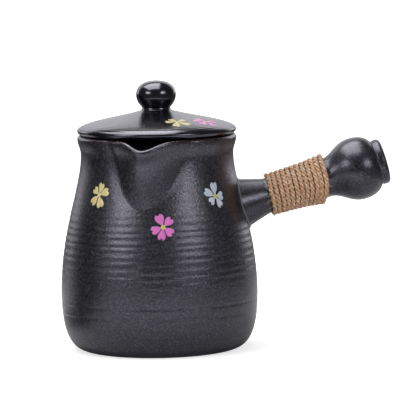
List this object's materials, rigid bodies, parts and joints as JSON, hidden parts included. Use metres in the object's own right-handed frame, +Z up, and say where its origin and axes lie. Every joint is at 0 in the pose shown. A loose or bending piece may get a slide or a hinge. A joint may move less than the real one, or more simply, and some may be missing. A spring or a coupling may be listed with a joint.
{
  "type": "side-handled stovetop teapot",
  "caption": "Dark glazed stoneware teapot with a pinched pouring lip, a hollow side handle wrapped in twine, a loose knobbed lid and painted flowers.",
  "frame": {"origin": "middle of the flat foot, on the pot's axis", "axes": "+Z up along the pot's axis, +X towards the handle, the spout near -Y"},
  "size_m": [0.2077, 0.1228, 0.168],
  "materials": {
    "black_glaze": "satin black glaze, glossier on the lid and knob",
    "jute_twine": "twisted jute fibre",
    "yellow_enamel": "pale yellow overglaze enamel",
    "pink_enamel": "pink overglaze enamel",
    "blue_enamel": "pale blue overglaze enamel",
    "gold_enamel": "golden yellow overglaze enamel"
  },
  "bodies": {
    "pot": {"pot_body": "black_glaze", "handle": "black_glaze", "twine_wrap": "jute_twine", "flower_yellow": "yellow_enamel", "flower_blue": "blue_enamel", "flower_pink": "pink_enamel", "flower_blue_middle": "gold_enamel", "flower_pink_middle": "gold_enamel"},
    "lid": {"lid": "black_glaze", "lid_knob": "black_glaze", "lid_flower_yellow": "yellow_enamel", "lid_flower_pink": "pink_enamel", "lid_flower_pink_middle": "gold_enamel"}
  },
  "joints": [
    {"name": "lid_lift", "type": "slide", "parent": "pot", "child": "lid", "axis": [0, 0, 1], "range_m": [0, 0.06]}
  ]
}
